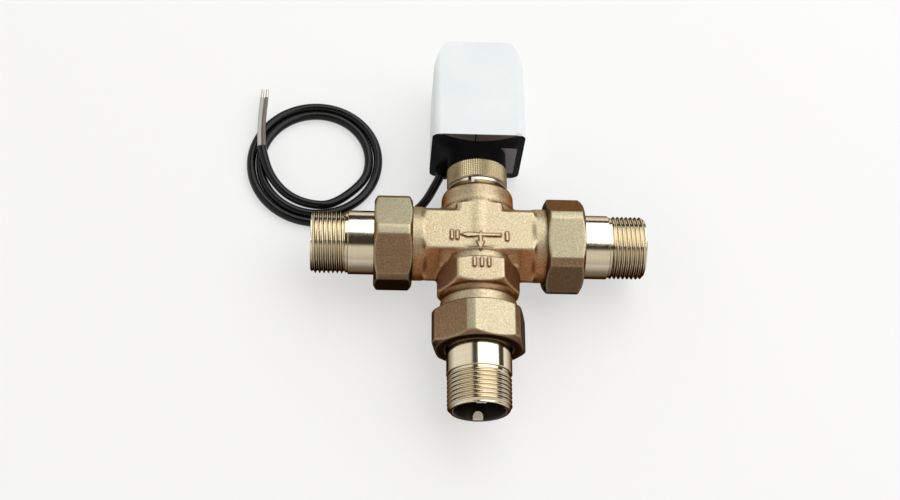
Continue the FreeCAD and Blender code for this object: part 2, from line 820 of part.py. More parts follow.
def tube(name, points, radius):
    path, radii = cord_path(points)
    section = Part.Wire(Part.makeCircle(radius, points[0], points[1] - points[0]))
    solid = path.makePipeShell([section], True, False)
    expected = math.pi * radius ** 2 * path.Length
    print(name, "length %.1f" % path.Length, "volume ratio %.4f" % (solid.Volume / expected),
          "radii", " ".join("%.0f" % value for value in radii))
    return solid


def cable_coil():
    """Outer shape of the two loose turns that lie on the table."""
    edge = coil_edge_radius
    top = coil_height
    ring_shape = turned([
        (0, coil_inner_radius), (0, coil_outer_radius), (top - edge, coil_outer_radius),
        (top, coil_outer_radius - edge), (top, coil_inner_radius + edge), (top - edge, coil_inner_radius),
    ])
    ring_shape.translate(vector(coil_x, coil_y, -axis_height))
    return ring_shape


def on_table(points):
    """Route points as x, y and the height above the table."""
    return [vector(x, y, z - axis_height) for x, y, z in points]


cable_start = vector(-cable_exit_side, base_face, -cable_exit_back)
cable_first_run = vector(-4.2, -8.5, -1.8)
lead_route = [cable_start, cable_start + cable_first_run] + on_table([
    (-28.2, 33.4, 4.8),
    (-38.5, 26.4, 3.0),
    (-52.0, 22.6, 2.6),
    (-66.0, 21.4, 2.6),
    (-80.0, 22.6, 2.6),
])
end_route = on_table([
    (-63.6, 38.0, 6.0),
    (-74.6, 34.6, 7.4),
    (-88.6, 34.6, 8.4),
    (-101.6, 39.0, 8.8),
    (-110.6, 47.2, 8.8),
    (-116.0, 57.0, 8.8),
    (-118.4, 66.6, 8.8),
])
core_route = on_table([
    (-118.4, 66.6, 8.8),
    (-119.3, 79.0, 8.6),
    (-119.0, 91.5, 7.6),
    (-118.7, 99.0, 6.4),
])
tip_route = on_table([(-118.7, 99.0, 6.4), (-118.6, 104.9, 5.4)])
cable_way = vector(cable_first_run).normalize()
inner_cable_length = (base_thickness + clamp_height + 3.0) / abs(cable_way.y)
inner_cable_end = cable_start - cable_way * inner_cable_length
seal_ring_radius = (stem_radius + packing_radius) / 2.0

nodes["valve_body"] = valve_body()
nodes["seat_ring"] = seat_ring()
nodes["bonnet"] = bonnet()
nodes["bonnet_seal"] = bonnet_seal()
nodes["stem_seals"] = stem_seals()
nodes["gland_nut"] = gland_nut()
nodes["stem"] = stem()
nodes["plug_seal_upper"] = ring(stem_tip_radius, plug_seal_radius, plug_top - plug_seal_height, plug_top)
nodes["plug_core"] = ring(
    stem_tip_radius, plug_core_radius, plug_bottom + plug_seal_height, plug_top - plug_seal_height)
nodes["plug_seal_lower"] = ring(
    stem_tip_radius, plug_seal_radius, plug_bottom, plug_bottom + plug_seal_height)
nodes["plug_nut"] = plug_nut()
nodes["spring_cap"] = spring_cap()
nodes["stem_clip"] = stem_clip()
nodes["return_spring"] = coil_spring(
    return_spring_radius, return_spring_wire, return_spring_turns, spring_floor, return_spring_length)

ports = [
    ("left", left, side_seat, side_bore_radius, left_nut_turn),
    ("right", right, side_seat, side_bore_radius, right_nut_turn),
    ("lower", lower, lower_seat, lower_bore_radius, lower_nut_turn),
]
for port, way, seat, bore_radius, turn in ports:
    nodes[port + "_gasket"] = along(gasket(seat, bore_radius), way)
    nodes[port + "_tail"] = along(tail(seat), way)
    nodes[port + "_union_nut"] = along(union_nut(seat, turn), way)

nodes["ring_nut"] = ring_nut()
nodes["snap_ring"] = snap_ring()
nodes["actuator_base"] = actuator_base()
nodes["cap"] = cap()
nodes["carrier_frame"] = carrier_frame()
nodes["wax_cartridge"] = wax_cartridge()
nodes["heater"] = ring(0, cartridge_radius, cartridge_top, frame_top)
nodes["heater_contacts"] = heater_contacts()
nodes["plunger"] = plunger()
nodes["piston"] = ring(0, piston_radius, plunger_top, plunger_top + piston_length)
nodes["plunger_spring"] = coil_spring(
    plunger_spring_radius, plunger_spring_wire, plunger_spring_turns, base_top, plunger_spring_length)
nodes["strain_relief"] = strain_relief()
nodes["cable_clamp"] = cable_clamp()
nodes["inner_cable"] = inner_cable()
nodes["cable_lead"] = tube("cable_lead", lead_route, cable_radius)
nodes["cable_coil"] = cable_coil()
nodes["cable_end"] = tube("cable_end", end_route, cable_radius)
for name, shift in (("grey_core", -core_spacing), ("brown_core", core_spacing)):
    offset = vector(shift, 0, 0)
    nodes[name] = tube(name, [point + offset for point in core_route], core_radius)
    nodes[name + "_tip"] = tube(name + "_tip", [point + offset for point in tip_route], core_radius * 0.8)

os.makedirs("parts", exist_ok=True)
place = vector(0, axis_y, axis_height)
for name, shape in nodes.items():
    shape.translate(place)
    if not shape.isValid():
        print("not valid:", name)
    shape.exportStep("parts/" + name + ".step")
print("nodes", len(nodes), "axis at y %.2f z %.2f" % (axis_y, axis_height))
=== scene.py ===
import math

import bmesh
import bpy
from mathutils import Matrix, Vector


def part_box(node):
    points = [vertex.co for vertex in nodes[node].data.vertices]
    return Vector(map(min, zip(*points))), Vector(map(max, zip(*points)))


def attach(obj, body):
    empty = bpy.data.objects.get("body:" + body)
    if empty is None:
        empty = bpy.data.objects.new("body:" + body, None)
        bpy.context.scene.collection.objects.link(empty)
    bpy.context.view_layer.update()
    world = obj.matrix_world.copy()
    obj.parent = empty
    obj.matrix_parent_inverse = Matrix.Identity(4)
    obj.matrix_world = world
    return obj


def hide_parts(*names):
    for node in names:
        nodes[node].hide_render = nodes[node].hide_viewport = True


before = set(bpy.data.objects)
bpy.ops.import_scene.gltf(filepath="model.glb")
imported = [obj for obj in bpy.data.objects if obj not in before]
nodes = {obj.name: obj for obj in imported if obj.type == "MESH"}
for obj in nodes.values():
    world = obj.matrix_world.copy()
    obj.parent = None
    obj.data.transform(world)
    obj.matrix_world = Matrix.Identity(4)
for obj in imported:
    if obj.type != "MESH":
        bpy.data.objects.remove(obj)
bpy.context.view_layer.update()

scene = bpy.context.scene
mm = 0.001
weld = 0.002 * mm
cutSlack = 0.001 * mm

# the three port axes cross here, and the stem runs along +Y from it
tailLow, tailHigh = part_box("left_tail")
crossing = Vector((0, (tailLow.y + tailHigh.y) / 2, (tailLow.z + tailHigh.z) / 2))
print("port axes cross at", [round(value, 5) for value in crossing])


def fromCrossing(x, y, z):
    return crossing + Vector((x, y, z)) * mm


def onTable(x, y, z):
    return Vector((x * mm, crossing.y + y * mm, z * mm))


# camera, as the photo was taken: lying valve, seen steeply from the lower port's side
photoCamera = {
    "lens": 58.81,
    "distance": 0.7787,
    "towards": (-0.0519, -0.4362, 0.8984),
    "middle": (-14.62, -2.69, -1.14),
    "roll": -0.21,
}


def makeCamera(look):
    back = Vector(look["towards"]).normalized()
    right = Vector((0, 1, 0)).cross(back).normalized()
    upward = back.cross(right)
    turn = Matrix.Rotation(math.radians(look["roll"]), 3, back)
    right, upward = turn @ right, turn @ upward
    place = fromCrossing(*look["middle"]) + back * look["distance"]
    camera = bpy.data.objects.new("photoCamera", bpy.data.cameras.new("photoCamera"))
    camera.data.lens = look["lens"]
    camera.data.sensor_width = 36.0
    camera.matrix_world = Matrix((
        (right.x, upward.x, back.x, place.x),
        (right.y, upward.y, back.y, place.y),
        (right.z, upward.z, back.z, place.z),
        (0, 0, 0, 1),
    ))
    scene.collection.objects.link(camera)
    scene.camera = camera


makeCamera(photoCamera)


# small helpers for node trees
def startMaterial(name):
    material = bpy.data.materials.new(name)
    material.use_nodes = True
    tree = material.node_tree
    return material, tree, tree.nodes["Principled BSDF"]


def addNode(tree, kind, sockets=None, **settings):
    node = tree.nodes.new(kind)
    for key, value in settings.items():
        setattr(node, key, value)
    for socket, value in (sockets or {}).items():
        if isinstance(value, bpy.types.NodeSocket):
            tree.links.new(value, node.inputs[socket])
        else:
            node.inputs[socket].default_value = value
    return node


def objectPlace(tree, stretch=(1, 1, 1)):
    place = addNode(tree, "ShaderNodeTexCoord").outputs["Object"]
    return addNode(tree, "ShaderNodeMapping", {"Vector": place, "Scale": stretch}).outputs["Vector"]


def noise(tree, place, size, detail=3.0, roughness=0.55):
    return addNode(tree, "ShaderNodeTexNoise", {
        "Vector": place, "Scale": 1.0 / (size * mm), "Detail": detail, "Roughness": roughness,
    }).outputs["Fac"]


def remap(tree, value, limits, low=0, high=1):
    return addNode(tree, "ShaderNodeMapRange", {
        "Value": value, "From Min": limits[0], "From Max": limits[1], "To Min": low, "To Max": high,
    }).outputs["Result"]


def mixColour(tree, factor, first, second):
    first, second = [value if isinstance(value, bpy.types.NodeSocket) else (*value, 1.0) for value in (first, second)]
    return addNode(tree, "ShaderNodeMix", {0: factor, 6: first, 7: second}, data_type="RGBA").outputs[2]


def multiply(tree, first, second):
    return addNode(tree, "ShaderNodeMath", {0: first, 1: second}, operation="MULTIPLY").outputs["Value"]


def addUp(tree, first, second):
    adder = addNode(tree, "ShaderNodeMath", {0: first, 1: second}, operation="ADD", use_clamp=True)
    return adder.outputs["Value"]


def attributeFac(tree, name):
    return addNode(tree, "ShaderNodeAttribute", attribute_name=name).outputs["Fac"]


def addBump(tree, shader, height, depth):
    bump = addNode(tree, "ShaderNodeBump", {"Height": height, "Distance": depth * mm, "Strength": 1.0})
    tree.links.new(bump.outputs["Normal"], shader.inputs["Normal"])


# brass in its finishes. The pieces carry painted attributes: wear on rounded edges, painted shade in corners and
# bends, painted shade on faces turned from the lit side (with random oxide patches), painted shade on slopes turned
# from up. "grazing" dulls the rims.
castFinish = {
    "grainDetail": 5.0, "grainRough": 0.75, "grainRange": (0.36, 0.64), "patchRange": (0.45, 0.75),
    "hollowOxide": 0.8, "leastWear": 0.5, "wearPolish": -0.10, "pitDetail": 2.0, "pitRough": 0.6,
}


def brass(look):
    material, tree, shader = startMaterial(look["name"])
    place = objectPlace(tree)
    grain = noise(tree, place, look["grain"], castFinish["grainDetail"], castFinish["grainRough"])
    grain = remap(tree, grain, castFinish["grainRange"])
    patches = remap(tree, noise(tree, place, look["patch"]), castFinish["patchRange"], 0, look["oxidePatches"])
    hollow = attributeFac(tree, "hollow")
    tone = mixColour(tree, grain, look["dark"], look["light"])
    brown = mixColour(tree, grain, look["oxideAndShadeDark"], look["oxideAndShade"])
    # painted shade on faces turned from the lit side, added to random oxide patches and to the hollows' painted shade
    oxideAndShade = addUp(tree, attributeFac(tree, "oxideAndShade"), patches)
    oxideAndShade = addUp(tree, oxideAndShade, multiply(tree, hollow, castFinish["hollowOxide"]))
    tone = mixColour(tree, multiply(tree, oxideAndShade, look["oxideAndShadeShare"]), tone, brown)
    # painted shade: slopes turned away from up, and hollows, darken towards the low colour
    paintedShade = addUp(tree, multiply(tree, attributeFac(tree, "low"), look["tiltShadeShare"]),
                multiply(tree, hollow, look["hollowShare"]))
    tone = mixColour(tree, paintedShade, tone, look["low"])
    wear = multiply(tree, attributeFac(tree, "wear"), remap(tree, grain, (0, 1), castFinish["leastWear"], 1))
    tone = mixColour(tree, wear, tone, look["edge"])
    tree.links.new(tone, shader.inputs["Base Color"])
    smoothest, roughest = look["rough"]
    rough = remap(tree, grain, (0, 1), roughest, smoothest)
    rough = addUp(tree, rough, multiply(tree, wear, castFinish["wearPolish"]))
    tree.links.new(rough, shader.inputs["Roughness"])
    shader.inputs["Metallic"].default_value = 1.0
    shader.inputs["Specular Tint"].default_value = (*look["grazing"], 1.0)
    pits = noise(tree, place, look["pit"], castFinish["pitDetail"], castFinish["pitRough"])
    addBump(tree, shader, pits, look["pitDepth"])
    return material


turnedFinish = {
    "ringSize": 0.35, "ringDetail": 3.0, "ringRough": 0.7, "toneRange": (0.3, 0.7), "roughRange": (0.25, 0.75),
    "patchSize": 9.0, "patchRange": (0.45, 0.8), "patchShare": 0.35,
}


def turnedBrass(look):
    material, tree, shader = startMaterial(look["name"])
    rings = noise(tree, objectPlace(tree, look["along"]), turnedFinish["ringSize"], turnedFinish["ringDetail"],
                  turnedFinish["ringRough"])
    patches = noise(tree, objectPlace(tree), turnedFinish["patchSize"])
    patches = remap(tree, patches, turnedFinish["patchRange"], 0, turnedFinish["patchShare"])
    tone = mixColour(tree, remap(tree, rings, turnedFinish["toneRange"]), look["dark"], look["light"])
    tone = mixColour(tree, patches, tone, look["tarnish"])
    # painted shade: slopes turned away from up darken towards the low colour
    tone = mixColour(tree, multiply(tree, attributeFac(tree, "low"), look["tiltShadeShare"]), tone, look["low"])
    tree.links.new(tone, shader.inputs["Base Color"])
    tree.links.new(remap(tree, rings, turnedFinish["roughRange"], *look["rough"]), shader.inputs["Roughness"])
    shader.inputs["Metallic"].default_value = look.get("metallic", 1.0)
    shader.inputs["Specular Tint"].default_value = (*look.get("grazing", (1.0, 1.0, 1.0)), 1.0)
    addBump(tree, shader, rings, look["ringDepth"])
    return material


plasticFinish = {"patchSize": 22.0, "patchRange": (0.35, 0.7), "grainRange": (0.3, 0.7), "detail": 2.0}


def plastic(look):
    material, tree, shader = startMaterial(look["name"])
    place = objectPlace(tree)
    grain = noise(tree, place, look["grain"], plasticFinish["detail"])
    patches = noise(tree, place, plasticFinish["patchSize"], plasticFinish["detail"])
    tone = mixColour(tree, remap(tree, patches, plasticFinish["patchRange"]), look["light"], look["dark"])
    tree.links.new(tone, shader.inputs["Base Color"])
    tree.links.new(remap(tree, grain, plasticFinish["grainRange"], *look["rough"]), shader.inputs["Roughness"])
    shader.inputs["IOR"].default_value = look.get("ior", 1.47)
    addBump(tree, shader, grain, look["grainDepth"])
    return material


# the low colours are painted shade, and the oxide colours tint random oxide patches and painted shade
forgedBrass = brass({
    "name": "forgedBrass", "grain": 1.0, "patch": 16.0, "pit": 0.55, "pitDepth": 0.16,
    "dark": (0.44, 0.36, 0.22), "light": (0.69, 0.595, 0.40), "edge": (0.78, 0.69, 0.50),
    "oxideAndShade": (0.45, 0.20, 0.080), "oxideAndShadeDark": (0.27, 0.095, 0.032), "oxidePatches": 0.06, "oxideAndShadeShare": 0.92,
    "low": (0.075, 0.036, 0.016), "tiltShadeShare": 0.8, "hollowShare": 0.7,
    "rough": (0.36, 0.50), "grazing": (0.45, 0.32, 0.20),
})
nutBrass = brass({
    "name": "nutBrass", "grain": 0.9, "patch": 14.0, "pit": 0.5, "pitDepth": 0.10,
    "dark": (0.40, 0.35, 0.225), "light": (0.60, 0.54, 0.37), "edge": (0.68, 0.62, 0.45),
    "oxideAndShade": (0.34, 0.205, 0.115), "oxideAndShadeDark": (0.19, 0.105, 0.054), "oxidePatches": 0.10, "oxideAndShadeShare": 0.9,
    "low": (0.030, 0.019, 0.013), "tiltShadeShare": 0.95, "hollowShare": 0.4,
    "rough": (0.36, 0.48), "grazing": (0.25, 0.17, 0.11),
})
knurledBrass = brass({
    "name": "knurledBrass", "grain": 0.8, "patch": 9.0, "pit": 0.3, "pitDepth": 0.02,
    "dark": (0.46, 0.37, 0.22), "light": (0.66, 0.56, 0.36), "edge": (0.84, 0.75, 0.54),
    "oxideAndShade": (0.34, 0.21, 0.11), "oxideAndShadeDark": (0.20, 0.115, 0.055), "oxidePatches": 0.2, "oxideAndShadeShare": 0.7,
    "low": (0.05, 0.03, 0.016), "tiltShadeShare": 0.8, "hollowShare": 0.6,
    "rough": (0.26, 0.38), "grazing": (0.5, 0.4, 0.3),
})
brightTurned = {
    "dark": (0.84, 0.73, 0.52), "light": (0.95, 0.87, 0.69), "tarnish": (0.74, 0.60, 0.40),
    "low": (0.105, 0.066, 0.038), "tiltShadeShare": 0.88, "rough": (0.09, 0.17), "ringDepth": 0.004,
    "grazing": (0.15, 0.10, 0.06),
}
acrossPort = turnedBrass({"name": "turnedBrassSide", "along": (1, 0.01, 0.01), **brightTurned})
alongStem = turnedBrass({"name": "turnedBrassStem", "along": (0.01, 1, 0.01), **brightTurned})
# pale, partly dielectric brass: painted highlight on the polished cone
coneHighlightBrass = turnedBrass({
    **brightTurned, "name": "coneHighlightBrass", "along": (0.01, 1, 0.01),
    "dark": (0.95, 0.90, 0.78), "light": (0.98, 0.95, 0.86), "tarnish": (0.92, 0.84, 0.68),
    "metallic": 0.45, "rough": (0.30, 0.42), "grazing": (0.8, 0.7, 0.5),
})
# pale, mostly dielectric brass: painted highlight on the driving lugs
lugHighlightBrass = turnedBrass({
    "name": "lugHighlightBrass", "along": (1, 1, 1), "dark": (0.84, 0.76, 0.62), "light": (0.92, 0.86, 0.74),
    "tarnish": (0.80, 0.70, 0.54), "low": (0.5, 0.4, 0.3), "tiltShadeShare": 0.3,
    "metallic": 0.25, "rough": (0.35, 0.5), "ringDepth": 0.01,
})
# near-black brass: painted shade inside the bores and in the cone's notch
boreShadeBrass = turnedBrass({
    "name": "boreShadeBrass", "along": (1, 1, 1), "dark": (0.030, 0.026, 0.022), "light": (0.055, 0.045, 0.036),
    "tarnish": (0.02, 0.018, 0.016), "low": (0.02, 0.018, 0.016), "tiltShadeShare": 0.2,
    "rough": (0.35, 0.5), "ringDepth": 0.01,
})
whitePlastic = plastic({
    "name": "capPlastic", "light": (0.82, 0.865, 0.88), "dark": (0.78, 0.83, 0.85),
    "grain": 0.35, "grainDepth": 0.012, "rough": (0.34, 0.46),
})
blackPlastic = plastic({
    "name": "basePlastic", "light": (0.004, 0.004, 0.005), "dark": (0.007, 0.007, 0.008),
    "grain": 0.4, "grainDepth": 0.03, "rough": (0.42, 0.58), "ior": 1.13,
})
latchPlastic = plastic({
    "name": "latchPlastic", "light": (0.105, 0.084, 0.078), "dark": (0.080, 0.064, 0.059),
    "grain": 0.4, "grainDepth": 0.03, "rough": (0.45, 0.6),
})
greyPlate = plastic({
    "name": "greyPlate", "light": (0.22, 0.205, 0.20), "dark": (0.16, 0.15, 0.145),
    "grain": 0.3, "grainDepth": 0.01, "rough": (0.4, 0.55),
})
sheath = plastic({
    "name": "cableSheath", "light": (0.004, 0.004, 0.005), "dark": (0.007, 0.006, 0.007),
    "grain": 1.2, "grainDepth": 0.03, "rough": (0.14, 0.22), "ior": 1.36,
})
greyCore = plastic({
    "name": "greyCore", "light": (0.50, 0.49, 0.48), "dark": (0.44, 0.43, 0.42),
    "grain": 0.6, "grainDepth": 0.01, "rough": (0.35, 0.5),
})
brownCore = plastic({
    "name": "brownCore", "light": (0.20, 0.15, 0.12), "dark": (0.16, 0.12, 0.10),
    "grain": 0.6, "grainDepth": 0.01, "rough": (0.35, 0.5),
})
rubber = plastic({
    "name": "sealRubber", "light": (0.020, 0.020, 0.021), "dark": (0.030, 0.029, 0.028),
    "grain": 0.3, "grainDepth": 0.02, "rough": (0.6, 0.8),
})
fibre = plastic({
    "name": "gasketFibre", "light": (0.10, 0.17, 0.14), "dark": (0.14, 0.20, 0.16),
    "grain": 0.5, "grainDepth": 0.05, "rough": (0.7, 0.9),
})
ceramic = plastic({
    "name": "heaterCeramic", "light": (0.66, 0.63, 0.58), "dark": (0.58, 0.55, 0.50),
    "grain": 0.3, "grainDepth": 0.01, "rough": (0.5, 0.7),
})


steelFinish = {"lineSize": 0.3, "lineDetail": 3.0, "lineRough": 0.7, "lineRange": (0.3, 0.7), "lineDepth": 0.004}


def steel(look):
    material, tree, shader = startMaterial(look["name"])
    lines = noise(tree, objectPlace(tree, look["along"]), steelFinish["lineSize"], steelFinish["lineDetail"],
                  steelFinish["lineRough"])
    tone = mixColour(tree, remap(tree, lines, steelFinish["lineRange"]), look["dark"], look["light"])
    tree.links.new(tone, shader.inputs["Base Color"])
    tree.links.new(remap(tree, lines, steelFinish["lineRange"], *look["rough"]), shader.inputs["Roughness"])
    shader.inputs["Metallic"].default_value = 1.0
    addBump(tree, shader, lines, steelFinish["lineDepth"])
    return material


drawnSteel = steel({
    "name": "drawnSteel", "along": (1, 0.05, 1), "light": (0.66, 0.66, 0.67), "dark": (0.50, 0.50, 0.52),
    "rough": (0.2, 0.35),
})
tinned = steel({
    "name": "tinnedWire", "along": (1, 0.2, 1), "light": (0.80, 0.77, 0.73), "dark": (0.62, 0.56, 0.50),
    "rough": (0.25, 0.4),
})
print("materials made")


def dress(material, *names):
    for name in names:
        for slot in nodes[name].material_slots:
            slot.material = material


dress(forgedBrass, "valve_body")
dress(nutBrass, "left_union_nut", "right_union_nut", "lower_union_nut")
dress(acrossPort, "left_tail", "right_tail")
dress(alongStem, "lower_tail", "seat_ring", "gland_nut", "plug_core", "plug_nut", "wax_cartridge", "bonnet")
dress(knurledBrass, "ring_nut")
dress(whitePlastic, "cap")
dress(blackPlastic, "actuator_base", "strain_relief", "cable_clamp", "plunger")
dress(rubber, "bonnet_seal", "stem_seals", "plug_seal_upper", "plug_seal_lower")
dress(fibre, "left_gasket", "right_gasket", "lower_gasket")
dress(ceramic, "heater")
dress(drawnSteel, "stem", "stem_clip", "return_spring", "plunger_spring", "snap_ring", "carrier_frame",
      "heater_contacts", "piston", "spring_cap")
dress(sheath, "inner_cable")
dress(tinned, "grey_core_tip", "brown_core_tip")


# shared steps for the pieces
def mergedMesh(name):
    bm = bmesh.new()
    bm.from_mesh(nodes[name].data)
    bmesh.ops.remove_doubles(bm, verts=bm.verts, dist=weld)
    return bm


def meshFrom(bm, name, sharpAngle=None):
    mesh = bpy.data.meshes.new(name)
    bm.to_mesh(mesh)
    bm.free()
    if sharpAngle is not None:
        mesh.polygons.foreach_set("use_smooth", [True] * len(mesh.polygons))
        mesh.set_sharp_from_angle(angle=math.radians(sharpAngle))
    return mesh


def bevelEdges(bm, edges, offset, segments):
    bmesh.ops.bevel(
        bm, geom=edges, offset=offset * mm, offset_type="OFFSET", segments=segments,
        affect="EDGES", profile=0.5, material=-1, clamp_overlap=True)


def addPiece(name, mesh, materials, body, replaced=()):
    piece = bpy.data.objects.new(name, mesh)
    while mesh.materials:
        mesh.materials.pop()
    scene.collection.objects.link(piece)
    for material in materials:
        mesh.materials.append(material)
    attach(piece, body)
    if replaced:
        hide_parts(*replaced)
    return piece


def between(value, low, high):
    return min(1.0, max(0.0, (value - low) / (high - low)))


# painted from the shape: wear on bends, painted shade by slope, by facing and in concave bends, and a painted shadow
# along the marks' outlines
shade = {"beltEdge": 1.0, "outlineDepth": 0.6, "outlineCore": 0.45, "outlineSkip": 12.0, "outlineFar": 9.0}


def paintSurface(bm, look, outlines=()):
    bm.normal_update()
    litFacing = Vector(look["litFacing"]).normalized()
    layers = {name: bm.verts.layers.float.new(name) for name in ("wear", "hollow", "oxideAndShade", "low")}
    bends = []
    for vert in bm.verts:
        angles = [edge.calc_face_angle_signed(0.0) for edge in vert.link_edges]
        bends.append(sum(angles) / max(1, len(angles)))
    for vert in bm.verts:
        near = [bends[edge.other_vert(vert).index] for edge in vert.link_edges]
        bend = 0.5 * bends[vert.index] + 0.5 * sum(near) / max(1, len(near))
        vert[layers["wear"]] = between(bend * look["wearGain"], 0.0, 1.0) * look["wearMost"]
        # painted shade: faces turned away from the lit side get the brown tone
        vert[layers["oxideAndShade"]] = 1.0 - between(vert.normal.dot(litFacing), *look["shadeFacingFrom"])
        # painted shade on slopes turned away from up
        vert[layers["low"]] = 1.0 - between(vert.normal.z, *look["tiltShadeFrom"])
        # painted shade in concave bends, deeper or lighter in the belts, and a painted shadow along the marks'
        # outlines
        hollow = between(-bend * look["hollowGain"], 0.0, 1.0)
        place = (vert.co - crossing) / mm
        for start, end, amount in look["shadeBelts"]:
            share = between(place.y, start, start + shade["beltEdge"])
            share *= between(-place.y, -end, shade["beltEdge"] - end)
            hollow = max(hollow, amount * share) if amount > 0 else hollow * (1.0 + amount * share)
        for outline, top in outlines:
            if abs(place.z - top) < shade["outlineDepth"]:
                reach = rimDistance(place, outline)
                hollow = max(hollow, 1.0 - between(reach, shade["outlineCore"], look["outlineWidth"]))
        vert[layers["hollow"]] = hollow


def rimDistance(place, outline):
    spot = Vector((place.x, place.y))
    nearest = shade["outlineFar"]
    if min(abs(spot.x - x) + abs(spot.y - y) for x, y in outline) > shade["outlineSkip"]:
        return nearest
    for first, second in zip(outline, outline[1:] + outline[:1]):
        a, b = Vector(first), Vector(second)
        share = between((spot - a).dot(b - a), 0.0, (b - a).length_squared)
        nearest = min(nearest, (spot - a.lerp(b, share)).length)
    return nearest


# pieces that are cast or forged: the CAD skin, made of small even faces and softened
def trimSkin(bm, look):
    for vert in bm.verts:
        place = (vert.co - crossing) / mm
        reach = math.hypot(place.x, place.z)
        waist = look["waistRadius"] + look["waistSlope"] * max(0.0, look["waistEnd"] - place.y)
        inWaist = look["waistEnd"] - look["waistRun"] < place.y < look["waistStart"]
        if inWaist and abs(place.x) < look["waistSide"] and reach > waist:
            vert.co = fromCrossing(place.x * waist / reach, place.y, place.z * waist / reach)
        most = look["neckRadius"] + look["neckSlope"] * max(0.0, look["neck"] + look["neckLip"] - place.y)
        if place.y > look["neck"] and reach > most:
            vert.co = fromCrossing(place.x * most / reach, place.y, place.z * most / reach)


def softCopy(node, look, material, body, outlines=()):
    helper = bpy.data.objects.new(node + "Skin", meshFrom(mergedMesh(node), node + "Skin"))
    scene.collection.objects.link(helper)
    voxels = helper.modifiers.new("voxels", "REMESH")
    voxels.mode = "VOXEL"
    voxels.voxel_size = look["voxel"] * mm
    soften = helper.modifiers.new("soften", "SMOOTH")
    soften.factor = 0.5
    soften.iterations = look["passes"]
    fine = bpy.data.meshes.new_from_object(helper.evaluated_get(bpy.context.evaluated_depsgraph_get()))
    bpy.data.objects.remove(helper)
    bm = bmesh.new()
    bm.from_mesh(fine)
    for face in bm.faces:
        face.smooth = True
    if "neck" in look:
        trimSkin(bm, look)
    paintSurface(bm, look, outlines)
    bm.to_mesh(fine)
    bm.free()
    print(node, "skin has", len(fine.polygons), "faces")
    return addPiece(look["name"], fine, [material], body, (node,))


def smoothCopy(node, name, materials, body):
    return addPiece(name, meshFrom(mergedMesh(node), name, sharpAngle=24), materials, body, (node,))


# raised marks of the forging: port numbers as bars (x, y, width, length), and the flow arrow
markLook = {
    "top": 18.8, "numberTop": 20.8, "height": 0.85, "edge": 0.28, "sunk": 0.6, "point": 0.28,
    "bars": [(-14.8, -3.6, 1.25, 5.0), (-11.9, -3.6, 1.25, 5.0), (13.9, -4.0, 1.25, 4.9)],
    "lowerBars": [(-3.3, -19.8, 1.2, 4.8), (0.4, -19.8, 1.2, 4.8), (4.1, -19.8, 1.2, 4.8)],
    "bar": [(-9.9, -3.3), (-6.6, -4.6), (-2.4, -4.1), (10.6, -4.0), (10.6, -2.7), (1.0, -2.7), (0.3, -1.9),
            (-0.6, -2.7), (-6.6, -2.3)],
    "arrow": [(-0.6, -3.6), (-0.6, -7.2), (-1.8, -7.2), (0.0, -12.2), (1.8, -7.2), (0.7, -7.2), (0.7, -3.6)],
    "foot": 0.2, "rise": 1.0, "paint": {"wearGain": 0.6, "shadeFacingFrom": (0.40, 0.72)},
}


def barOutline(x, y, width, length):
    half, reach, point = width / 2, length / 2, width * markLook["point"]
    return [(x - half, y - reach + point), (x - half + point, y - reach), (x + half - point, y - reach),
            (x + half, y - reach + point), (x + half, y + reach - point), (x + half - point, y + reach),
            (x - half + point, y + reach), (x - half, y + reach - point)]


def markOutlines(look):
    marks = [(barOutline(*bar), look["top"]) for bar in look["bars"]]
    marks += [(barOutline(*bar), look["numberTop"]) for bar in look["lowerBars"]]
    return marks + [(look["bar"], look["top"]), (look["arrow"], look["top"])]


# belts are stretches along the stem's axis with deeper painted shade, or paler where the amount is negative
forgingLook = {
    "name": "forging", "voxel": 0.62, "passes": 9, "wearGain": 3.0, "wearMost": 0.30, "hollowGain": 3.0,
    "litFacing": (-0.06, 0.30, 0.95), "shadeFacingFrom": (0.30, 0.86), "tiltShadeFrom": (0.02, 0.46),
    "shadeBelts": [(-35.0, -30.2, 0.65), (-17.0, -10.0, -0.85), (20.8, 28.4, 0.2)], "outlineWidth": 1.0,
    "neck": 28.2, "neckRadius": 14.7, "neckSlope": 4.6, "neckLip": 0.8,
    "waistStart": -11.4, "waistEnd": -15.4, "waistRun": 3.0, "waistRadius": 19.1, "waistSlope": 2.6, "waistSide": 21.0,
}
nutLook = {
    "voxel": 0.46, "passes": 2, "wearGain": 2.0, "wearMost": 0.6, "hollowGain": 2.0,
    "litFacing": (0.05, 0.05, 1.0), "shadeFacingFrom": (0.74, 0.92), "tiltShadeFrom": (0.14, 0.58), "shadeBelts": [],
}
whiteCorners = {"height": 18.5, "side": 19.0, "start": 54.2, "facing": 0.05}


def paintCorners(piece, look):
    # the cover's pale corners reach down over the base
    for polygon in piece.data.polygons:
        place = (polygon.center - crossing) / mm
        outside = place.z > look["height"] and abs(place.x) > look["side"] and place.y > look["start"]
        if outside and polygon.normal.z > look["facing"]:
            polygon.material_index = 1


softCopy("valve_body", forgingLook, forgedBrass, "valve", markOutlines(markLook))
for port in ("left", "right", "lower"):
    softCopy(port + "_union_nut", {"name": port + "Nut", **nutLook}, nutBrass, port + "_nut")
smoothCopy("cap", "cover", [whitePlastic], "actuator")
base = smoothCopy("actuator_base", "base", [blackPlastic, whitePlastic], "actuator")
paintCorners(base, whiteCorners)
print("forging, nuts and cover made")


